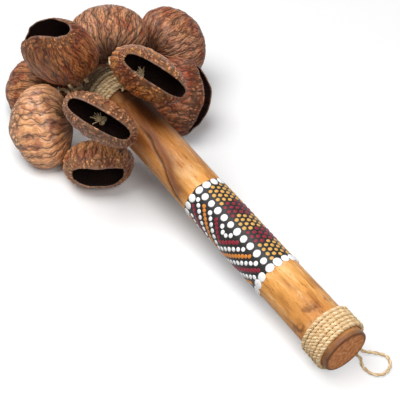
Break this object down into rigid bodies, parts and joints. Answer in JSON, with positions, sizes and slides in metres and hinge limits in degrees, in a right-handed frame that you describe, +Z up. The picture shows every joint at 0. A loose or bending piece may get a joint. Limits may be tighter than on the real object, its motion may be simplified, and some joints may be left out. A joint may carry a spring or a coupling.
{
  "type": "seed rattle",
  "caption": "Hand rattle: a turned wooden stick with a painted dotted band and twine grip, whose head carries a bunch of sawn-open seed shells on knotted cords that knock together when shaken.",
  "frame": {"origin": "on the floor, under the middle of the rattle's box measured without the hanging loop", "axes": "+X along the stick from the head towards the butt, level; +Z up from the floor the rattle lies on; +Y to the left of someone at the head who looks towards the butt"},
  "size_m": [0.3581, 0.1634, 0.1143],
  "materials": {
    "wood": "waxed satin",
    "paint": "satin paint with raised dots",
    "twine": "raw plant-fibre twine",
    "seed_shell": "oiled, veined seed shell"
  },
  "bodies": {
    "stick": {"handle": "wood", "painted_band": "paint", "grip_winding": "twine", "head_binding": "twine", "hang_loop": "twine"},
    "shell_1": {"seed_shell_1": "seed_shell", "shell_cord_1": "twine"},
    "shell_2": {"seed_shell_2": "seed_shell", "shell_cord_2": "twine"},
    "shell_3": {"seed_shell_3": "seed_shell", "shell_cord_3": "twine"},
    "shell_4": {"seed_shell_4": "seed_shell", "shell_cord_4": "twine"},
    "shell_5": {"seed_shell_5": "seed_shell", "shell_cord_5": "twine"},
    "shell_6": {"seed_shell_6": "seed_shell", "shell_cord_6": "twine"},
    "shell_7": {"seed_shell_7": "seed_shell", "shell_cord_7": "twine"},
    "shell_8": {"seed_shell_8": "seed_shell", "shell_cord_8": "twine"},
    "shell_9": {"seed_shell_9": "seed_shell", "shell_cord_9": "twine"},
    "shell_10": {"seed_shell_10": "seed_shell", "shell_cord_10": "twine"},
    "shell_11": {"seed_shell_11": "seed_shell", "shell_cord_11": "twine"}
  },
  "joints": [
    {"name": "shell_1_swing", "type": "hinge", "parent": "stick", "child": "shell_1", "pos_m": [-0.0899, -0.029, 0.0648], "axis": [1, 0, 0], "range_deg": [-34, 22]},
    {"name": "shell_2_swing", "type": "hinge", "parent": "stick", "child": "shell_2", "pos_m": [-0.0911, -0.0062, 0.0561], "axis": [-0.4108, -0.9117, 0], "range_deg": [-60, 0]},
    {"name": "shell_3_swing", "type": "hinge", "parent": "stick", "child": "shell_3", "pos_m": [-0.092, -0.0069, 0.0494], "axis": [0.8406, 0.2302, -0.4903], "range_deg": [0, 60]},
    {"name": "shell_4_swing", "type": "hinge", "parent": "stick", "child": "shell_4", "pos_m": [-0.0599, -0.0126, 0.0617], "axis": [-0.2902, -0.8906, 0.3502], "range_deg": [0, 42]},
    {"name": "shell_5_swing", "type": "hinge", "parent": "stick", "child": "shell_5", "pos_m": [-0.0928, -0.0103, 0.0442], "axis": [0, 0, -1], "range_deg": [0, 44]},
    {"name": "shell_6_swing", "type": "hinge", "parent": "stick", "child": "shell_6", "pos_m": [-0.0926, -0.0311, 0.0456], "axis": [-0.6608, -0.7409, 0.1201], "range_deg": [0, 40]},
    {"name": "shell_7_swing", "type": "hinge", "parent": "stick", "child": "shell_7", "pos_m": [-0.0919, -0.0335, 0.0503], "axis": [-1, 0, 0], "range_deg": [0, 24]},
    {"name": "shell_8_swing", "type": "hinge", "parent": "stick", "child": "shell_8", "pos_m": [-0.0609, -0.0332, 0.0546], "axis": [-0.1605, 0.4614, 0.8726], "range_deg": [-24, 0]},
    {"name": "shell_9_swing", "type": "hinge", "parent": "stick", "child": "shell_9", "pos_m": [-0.0931, -0.0266, 0.0419], "axis": [0, 0, -1], "range_deg": [-42, 0]},
    {"name": "shell_10_swing", "type": "hinge", "parent": "stick", "child": "shell_10", "pos_m": [-0.0932, -0.0152, 0.0411], "axis": [0, 0, -1], "range_deg": [0, 30]},
    {"name": "shell_11_swing", "type": "hinge", "parent": "stick", "child": "shell_11", "pos_m": [-0.0913, -0.034, 0.0546], "axis": [-0.2784, 0.865, -0.4176], "range_deg": [0, 50]}
  ]
}
